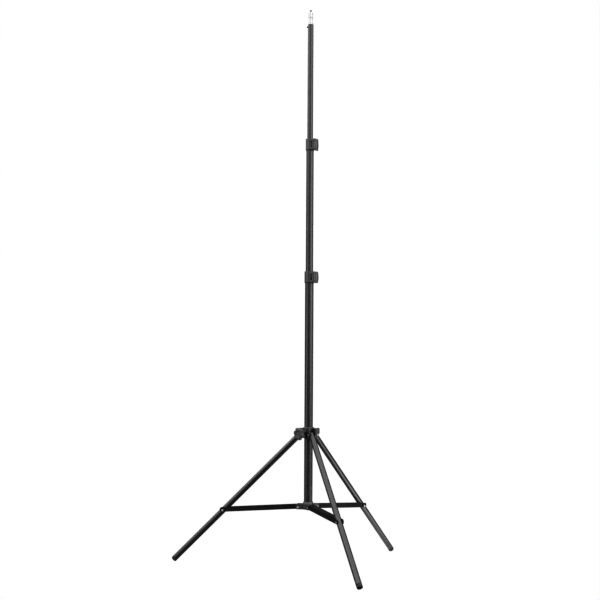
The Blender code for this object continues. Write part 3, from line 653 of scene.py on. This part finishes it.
def build_bracket():
    """The fixed ring at the column's foot, with a fork for each brace and a screw at its back."""
    start, end = BRACKET_PIVOT_Z - 6.7 * MM, BRACKET_PIVOT_Z + 20.2 * MM
    neck_r, neck = 16.3 * MM, 8.0 * MM
    ring = rounded([(start, BORE_R - MM), (start, RING_R, 1.2 * MM),
                    (end - neck, RING_R, 3.0 * MM), (end, neck_r, 0.5 * MM),
                    (end, BORE_R - MM)], 0.3 * MM, 5)
    cheek_low, cheek_high = BRACKET_PIVOT_Z - 6.2 * MM, BRACKET_PIVOT_Z + 12.3 * MM
    cheek_x, corner = 42.0 * MM, 4 * MM
    cheek = rounded([(CHEEK_ROOT_X, cheek_low), (cheek_x, cheek_low, corner),
                     (cheek_x, cheek_high, corner), (CHEEK_ROOT_X, cheek_high)], 0.5 * MM, 8)
    piece("lower_bracket", combined(lathe(ring), *forks(cheek, BRACE_HALF + GAP),
                                    bore_cut(start - MM, end + MM)))
    tip, face, radius, socket_r = 13.85 * MM, 19.1 * MM, 2.0 * MM, 1.0 * MM
    grub = [(tip, 0.0, 0.0), (tip, 1.6 * MM, 0.0), (14.3 * MM, radius, 0.0), (face, radius),
            (face, socket_r, 0.0), (17.1 * MM, socket_r, 0.0), (17.1 * MM, 0.0, 0.0)]
    piece("bracket_screw", lathe(rounded(grub, 0.2 * MM, 3), "X", SMALL_ROUND),
          turned_about_z(math.pi / 2, BRACKET_PIVOT_Z))


def build_collar():
    """The sliding ring, with a fork for each leg and a boss for the knob's screw."""
    start, end = lowest("leg_collar").z, highest("leg_collar").z
    ring = rounded([(start, BORE_R - MM), (start, RING_R, 1.5 * MM), (end, RING_R, 3.0 * MM),
                    (end, BORE_R - MM)], 0.3 * MM, 6)
    eye_r, corner = 7 * MM, 3 * MM
    cheek_x, cheek_low, cheek_high = 44.7 * MM, COLLAR_PIVOT_Z + 6 * MM, COLLAR_PIVOT_Z + 24.5 * MM
    eye = [(x, z, 0.0) for x, z in arc((PIVOT_RADIUS, COLLAR_PIVOT_Z), eye_r, -100, 25, 24)]
    cheek = rounded([(CHEEK_ROOT_X, start + 1.5 * MM)] + eye
                    + [(cheek_x, cheek_low, corner), (cheek_x, cheek_high, corner),
                       (CHEEK_ROOT_X, cheek_high)], 0.5 * MM, 6)
    side = turned_about_z(KNOB_TURN, JOINTS["knob_turn"]["pos_m"][2])
    boss_start, boss_end, boss_r = 17 * MM, 41 * MM, 11 * MM
    boss = rounded([(boss_start, 0.0, 0.0), (boss_start, boss_r), (boss_end, boss_r, 1.2 * MM),
                    (boss_end, 0.0, 0.0)], 0.3 * MM)
    hole = [(10 * MM, 0.0), (10 * MM, KNOB_HOLE_R), (boss_end + 2 * MM, KNOB_HOLE_R),
            (boss_end + 2 * MM, 0.0)]
    piece("leg_collar", combined(lathe(ring), *forks(cheek, LEG_R + LEG_CLEARANCE),
                                 ("UNION", moved(lathe(boss, "X", MIDDLE_ROUND), side)),
                                 bore_cut(start - MM, end + MM),
                                 ("DIFFERENCE", moved(lathe(hole, "X", 48), side))))
    shoe_start, shoe_end, shoe_r = 15.3 * MM, 17.6 * MM, 3.9 * MM
    shoe = [(shoe_start, 0.0, 0.0), (shoe_start, shoe_r), (shoe_end, shoe_r),
            (shoe_end, 0.0, 0.0)]
    piece("collar_shoe", lathe(rounded(shoe, 0.3 * MM, 3), "X", SMALL_ROUND), side)
    build_knob(side)


def build_knob(side):
    """A six-lobed grip moulded round a threaded stem."""
    start, end, outer = 42.5 * MM, 58.0 * MM, 22.0 * MM
    lobes, depth, first = 6, 1.75 * MM, math.radians(134.0)
    hub, round_r, blend = 10.0 * MM, 12.5 * MM, 3.0 * MM

    def lobed(along, radius, angle):
        if radius <= round_r:
            return radius
        share = min(1.0, (radius - round_r) / blend)
        return radius - share * depth * (1 - math.cos(lobes * (angle - first)))

    profile = rounded([
        (end - 4 * MM, 0.0, 0.0), (end - 4 * MM, KNOB_HOLE_R, 0.0), (start, KNOB_HOLE_R, 0.0),
        (start, 8.0 * MM), (start, outer - 3.5 * MM, 1.5 * MM),
        (start + 5.0 * MM, outer, 3.0 * MM), (end - 2.2 * MM, outer, 2.0 * MM),
        (end, outer - 2.4 * MM, 1.8 * MM), (end, hub + 1.4 * MM, 0.8 * MM),
        (end - 1.3 * MM, hub, 0.8 * MM), (end - 1.0 * MM, 0.0, 0.0)], 0.4 * MM, 6)
    piece("collar_knob", lathe(profile, "X", 144, form=lobed), side, 40.0)

    tip, far, crest_r = 17.9 * MM, 53.7 * MM, 4.0 * MM
    pitch, groove, fade = 1.25 * MM, 0.6 * MM, 0.8 * MM
    rows = 8 * int((far - tip) / pitch)

    def threaded(along, radius, angle):
        ends = min(1.0, (along - tip) / fade, (far - along) / fade)
        return radius - groove * (1 - thread_crest(along - tip, angle, pitch) * ends)

    rod = ([(tip, 0.0)] + [(tip + (far - tip) * row / rows, crest_r) for row in range(rows + 1)]
           + [(far, 0.0)])
    piece("knob_stem", lathe(rod, "X", 32, form=threaded), side, 50.0)


def rivet_profile(start, end, both=True):
    """A shank between two heads, each with a flat seat, a short wall and a dome."""
    shank, head_r, head = 2.0 * MM, 4.2 * MM, 1.5 * MM
    wall, edge, steps = 0.35 * MM, 0.15 * MM, 8
    dome = [(wall + (head - wall) * math.sin(math.pi / 2 * step / steps),
             head_r * math.cos(math.pi / 2 * step / steps)) for step in range(steps)]
    dome.append((head, 0.0))
    far = [(end, head_r - edge), (end + edge, head_r)] + [(end + a, r) for a, r in dome]
    near = ([(start - a, r) for a, r in reversed(dome)]
            + [(start - edge, head_r), (start, head_r - edge)])
    if both:
        return near + [(start, shank), (end, shank)] + far
    return [(start, 0.0), (start, shank), (end, shank)] + far


def build_rivets():
    bracket_span = BRACE_HALF + GAP + FORK_WALL + GAP
    brace_span = BRACE_HALF + GAP
    leg_near, leg_far = LEG_R + 0.6 * MM, LEG_R + LEG_CLEARANCE + FORK_WALL + GAP
    for side in SIDES:
        spin = turned_to(side)
        brace_pivot = Vector(JOINTS[f"{side}_brace_hinge"]["pos_m"])
        leg_pivot = Vector(JOINTS[f"{side}_leg_hinge"]["pos_m"])
        collar_pivot = spin @ Vector((PIVOT_RADIUS, 0, COLLAR_PIVOT_Z))
        piece(f"{side}_brace_pivot_rivet",
              lathe(rivet_profile(-bracket_span, bracket_span), "Y", SMALL_ROUND),
              Matrix.Translation(brace_pivot) @ spin)
        piece(f"{side}_joint_rivet",
              lathe(rivet_profile(-brace_span, brace_span), "Y", SMALL_ROUND),
              Matrix.Translation(leg_pivot) @ spin)
        for hand, half_turn in (("a", 0.0), ("b", math.pi)):
            piece(f"{side}_leg_rivet_{hand}",
                  lathe(rivet_profile(leg_near, leg_far, False), "Y", SMALL_ROUND),
                  Matrix.Translation(collar_pivot) @ spin @ Matrix.Rotation(half_turn, 4, "Z"))


# ---------------------------------------------------------------- legs and braces

BRACE_TOP, BRACE_BOTTOM = 11.5 * MM, -4.5 * MM      # from the line between its pivots
BRACE_PAST_BRACKET, BRACE_PAST_LEG = 7.5 * MM, 10.0 * MM
BRACE_WEB_START, BRACE_WEB_STOP = 4 * MM, 31 * MM   # the web's ends, from either pivot
LEG_PAST_COLLAR = 3.5 * MM
FOOT_END, FOOT_LENGTH = 257.0 * MM, 13.0 * MM       # its end is measured from the brace's pivot


def along_frame(start, end, side):
    """A frame at start whose +X points to end and whose +Y is the side's joint direction."""
    forward = (end - start).normalized()
    across = turned_to(side).to_3x3() @ Vector((0, 1, 0))
    up = forward.cross(across)
    turn = Matrix((forward, across, up)).transposed().to_4x4()
    return Matrix.Translation(start) @ turn


def bend_along(shape, height, length, radius, steps):
    """Round the edges at a height that run along a brace."""
    bends = [edge for edge in shape.edges
             if all(abs(vertex.co.z - height) < 1e-6 for vertex in edge.verts)
             and abs(edge.verts[0].co.x - edge.verts[1].co.x) > 0.5 * length]
    bmesh.ops.bevel(shape, geom=bends, offset=radius, segments=steps, profile=0.5,
                    affect="EDGES")


def brace_shape(length):
    """A pressed channel, open below, with rounded flat ends that take the pivots."""
    middle, radius = (BRACE_TOP + BRACE_BOTTOM) / 2, (BRACE_TOP - BRACE_BOTTOM) / 2
    outline = (arc((length + BRACE_PAST_LEG - radius, middle), radius, -90, 90, 24)
               + arc((radius - BRACE_PAST_BRACKET, middle), radius, 90, 270, 24))
    shape = slab(outline, -BRACE_HALF, BRACE_HALF, 0.0, "XZ")
    bend_along(shape, BRACE_TOP, length, 1.6 * MM, 6)
    inner, roof = BRACE_HALF - BRACE_WALL, BRACE_TOP - BRACE_WALL
    past, above = 20 * MM, BRACE_TOP + MM
    hollow = block((-past, -inner, BRACE_BOTTOM - MM), (length + past, inner, roof))
    bend_along(hollow, roof, length, 0.4 * MM, 3)
    return combined(shape, ("DIFFERENCE", hollow),
                    ("DIFFERENCE", block((-past, -inner, 0), (BRACE_WEB_START, inner, above))),
                    ("DIFFERENCE", block((length - BRACE_WEB_STOP, -inner, 0),
                                         (length + past, inner, above))))


def build_side(side):
    """One brace, and the leg it carries with its plug and foot."""
    brace_pivot = Vector(JOINTS[f"{side}_brace_hinge"]["pos_m"])
    leg_pivot = Vector(JOINTS[f"{side}_leg_hinge"]["pos_m"])
    collar_pivot = turned_to(side) @ Vector((PIVOT_RADIUS, 0, COLLAR_PIVOT_Z))
    piece(f"{side}_brace", brace_shape((leg_pivot - brace_pivot).length),
          along_frame(brace_pivot, leg_pivot, side))

    leg = along_frame(collar_pivot, leg_pivot, side)
    leg.translation = leg_pivot
    # A tube's own +Z runs down the leg, so that its drawn grain does too.
    down = leg @ TURN_TO["X"]
    top = -((leg_pivot - collar_pivot).length + LEG_PAST_COLLAR)
    foot_start = FOOT_END - FOOT_LENGTH
    inner = LEG_R - TUBE_WALL
    tube = rounded([(top, inner), (top, LEG_R), (foot_start - GAP, LEG_R),
                    (foot_start - GAP, inner)], 0.25 * MM, 4)
    piece(f"{side}_leg_tube", lathe(tube), down)
    cap, cap_r, stem_end = top - 2.5 * MM, LEG_R - 0.2 * MM, top + 14 * MM
    plug = rounded([(cap, 0.0, 0.0), (cap, cap_r, 1.2 * MM), (top - GAP, cap_r, 0.2 * MM),
                    (top - GAP, inner - GAP, 0.0), (stem_end, inner - GAP),
                    (stem_end, 0.0, 0.0)], 0.3 * MM, 5)
    piece(f"{side}_leg_plug", lathe(plug), down)
    ribs = []
    groove = LEG_R - 0.35 * MM
    for step in range(3):
        here = foot_start + (1.4 + 1.9 * step) * MM
        ribs += [(here, LEG_R), (here + 0.4 * MM, groove), (here + 0.8 * MM, groove),
                 (here + 1.2 * MM, LEG_R)]
    stem = foot_start - 18 * MM
    foot = rounded([(stem, 0.0, 0.0), (stem, inner - GAP), (foot_start, inner - GAP, 0.0),
                    (foot_start, LEG_R)] + ribs
                   + [(FOOT_END, LEG_R, 3.0 * MM), (FOOT_END, 0.0, 0.0)], 0.2 * MM, 5)
    piece(f"{side}_foot", lathe(foot), down)


# ---------------------------------------------------------------- stage, light and camera

# Metres and radians, with the lens in millimetres. The azimuth is measured from the front leg.
CAMERA_AZIMUTH = math.radians(-19.33)
CAMERA_DISTANCE, CAMERA_HEIGHT = 4.113, 0.646
CAMERA_TILT, CAMERA_PAN, CAMERA_ROLL = 0.07119, -0.00804, 0.00533
CAMERA_LENS = 69.06

# How bright the room is behind the camera and beyond the stand, and how brightly the floor glows
# with painted light towards the stand: a level that rises from front to back, and much more on a
# painted pool of light at the right.
ROOM_NEAR, ROOM_FAR = 0.9, 0.15
FLOOR_FRONT_TO_BACK, FLOOR_RIGHT = (0.35, 0.9), 8.0
FLOOR_HALF = 30.0
WHITE = (1.0, 1.0, 1.0, 1.0)
VIEW_GAMMA = 0.6


def build_camera():
    data = bpy.data.cameras.new("camera")
    data.sensor_width = 36.0
    data.lens = CAMERA_LENS
    data.clip_end = 100.0
    made = bpy.data.objects.new("camera", data)
    bpy.context.collection.objects.link(made)
    side, ahead = math.sin(CAMERA_AZIMUTH), math.cos(CAMERA_AZIMUTH)
    flat, right, up = Vector((-side, ahead, 0)), Vector((ahead, side, 0)), Vector((0, 0, 1))
    forward = flat * math.cos(CAMERA_TILT) + up * math.sin(CAMERA_TILT)
    up = up * math.cos(CAMERA_TILT) - flat * math.sin(CAMERA_TILT)
    panned = forward * math.cos(CAMERA_PAN) + right * math.sin(CAMERA_PAN)
    right = right * math.cos(CAMERA_PAN) - forward * math.sin(CAMERA_PAN)
    rolled = right * math.cos(CAMERA_ROLL) + up * math.sin(CAMERA_ROLL)
    up = up * math.cos(CAMERA_ROLL) - right * math.sin(CAMERA_ROLL)
    turn = Matrix((rolled, up, -panned)).transposed().to_4x4()
    made.matrix_world = Matrix.Translation((side * CAMERA_DISTANCE, -ahead * CAMERA_DISTANCE,
                                            CAMERA_HEIGHT)) @ turn
    bpy.context.scene.camera = made


def build_world():
    """A white sweep to the camera, but a dim room to everything the stand reflects."""
    world = bpy.data.worlds.new("studio")
    bpy.context.scene.world = world
    world.use_nodes = True
    tree = world.node_tree
    room = tree.nodes["Background"]
    place = tree.nodes.new("ShaderNodeTexCoord")
    away = tree.nodes.new("ShaderNodeVectorMath")
    away.operation = "DOT_PRODUCT"
    away.inputs[1].default_value = (-math.sin(CAMERA_AZIMUTH), math.cos(CAMERA_AZIMUTH), 0.0)
    tree.links.new(place.outputs["Generated"], away.inputs[0])
    level = ramp(tree, away.outputs["Value"], -0.9, 0.9, ROOM_NEAR, ROOM_FAR)
    tree.links.new(level, room.inputs["Strength"])
    room.inputs["Color"].default_value = WHITE
    sweep = tree.nodes.new("ShaderNodeBackground")
    sweep.inputs["Color"].default_value = WHITE
    sweep.inputs["Strength"].default_value = 1.0
    rays = tree.nodes.new("ShaderNodeLightPath")
    chosen = tree.nodes.new("ShaderNodeMixShader")
    tree.links.new(rays.outputs["Is Camera Ray"], chosen.inputs["Fac"])
    tree.links.new(room.outputs["Background"], chosen.inputs[1])
    tree.links.new(sweep.outputs["Background"], chosen.inputs[2])
    tree.links.new(chosen.outputs["Shader"], tree.nodes["World Output"].inputs["Surface"])


def softbox(name, azimuth, distance, height, size, radiance):
    """A softbox that faces the column from an azimuth in degrees. height is its middle, and size
    its width and height."""
    data = bpy.data.lights.new(name, "AREA")
    data.shape = "RECTANGLE"
    data.size, data.size_y = size
    data.energy = radiance * math.pi * size[0] * size[1]
    made = bpy.data.objects.new(name, data)
    bpy.context.collection.objects.link(made)
    turn = math.radians(azimuth)
    at = Vector((distance * math.cos(turn), distance * math.sin(turn), height))
    made.location = at
    aim = Vector((0, 0, min(height, 1.5)))
    made.rotation_euler = (aim - at).to_track_quat("-Z", "Y").to_euler()
    made.visible_camera = False


def build_floor():
    """A pale floor that shows white to the camera, and glows with painted light towards the stand,
    mostly on a painted pool of light on its right.
    """
    floor = to_object("floor", block((-FLOOR_HALF, -FLOOR_HALF, -0.02),
                                     (FLOOR_HALF, FLOOR_HALF, 0.0)))
    made, tree, unused = node_tree("floor_look")
    tree.nodes.remove(unused)
    place = tree.nodes.new("ShaderNodeNewGeometry")
    axes = tree.nodes.new("ShaderNodeSeparateXYZ")
    tree.links.new(place.outputs["Position"], axes.inputs["Vector"])
    rays = tree.nodes.new("ShaderNodeLightPath")
    painted_floor_glow = tree.nodes.new("ShaderNodeEmission")
    # Painted light: to everything but the camera the floor glows, dimmer at the front and brighter
    # at the back.
    even = ramp(tree, axes.outputs["Y"], -0.8, 0.6, *FLOOR_FRONT_TO_BACK)
    # Painted pool of light: a much brighter glowing patch at the front right, as if a softbox lit
    # the floor there.
    painted_light_pool = ramp(tree, axes.outputs["X"], 0.1, 0.4, 0.0, FLOOR_RIGHT)
    for axis, inside, outside in (("X", 0.8, 1.1), ("Y", -0.7, -1.0), ("Y", -0.05, 0.35)):
        near = ramp(tree, axes.outputs[axis], inside, outside, 1.0, 0.0)
        painted_light_pool = multiplied(tree, painted_light_pool, near)
    tree.links.new(added(tree, even, painted_light_pool, 1.0), painted_floor_glow.inputs["Strength"])
    shown = tree.nodes.new("ShaderNodeEmission")
    chosen = tree.nodes.new("ShaderNodeMixShader")
    tree.links.new(rays.outputs["Is Camera Ray"], chosen.inputs["Fac"])
    tree.links.new(painted_floor_glow.outputs["Emission"], chosen.inputs[1])
    tree.links.new(shown.outputs["Emission"], chosen.inputs[2])
    tree.links.new(chosen.outputs["Shader"], tree.nodes["Material Output"].inputs["Surface"])
    floor.data.materials.append(made)


def build_stage():
    build_floor()
    softbox("right_softbox", -47.5, 3.0, 1.95, (3.6, 3.1), 6.5)
    softbox("left_softbox", -175.0, 3.0, 1.5, (1.6, 3.0), 5.5)
    softbox("top_softbox", 180.0, 0.6, 4.2, (12.0, 10.0), 4.5)
    view = bpy.context.scene.view_settings
    view.view_transform = "Standard"
    view.gamma = VIEW_GAMMA


build_camera()
build_tube("main_tube", MAIN_R)
build_tube("mid_tube", MID_R)
build_tube("top_tube", TOP_R, top_lip=1.1 * MM)
build_bushes()
build_spigot()
build_screws()
build_clamp("lower", MAIN_R, MID_R)
build_clamp("upper", MID_R, TOP_R)
build_bracket()
build_collar()
build_rivets()
for side_name in SIDES:
    build_side(side_name)
build_world()
build_stage()
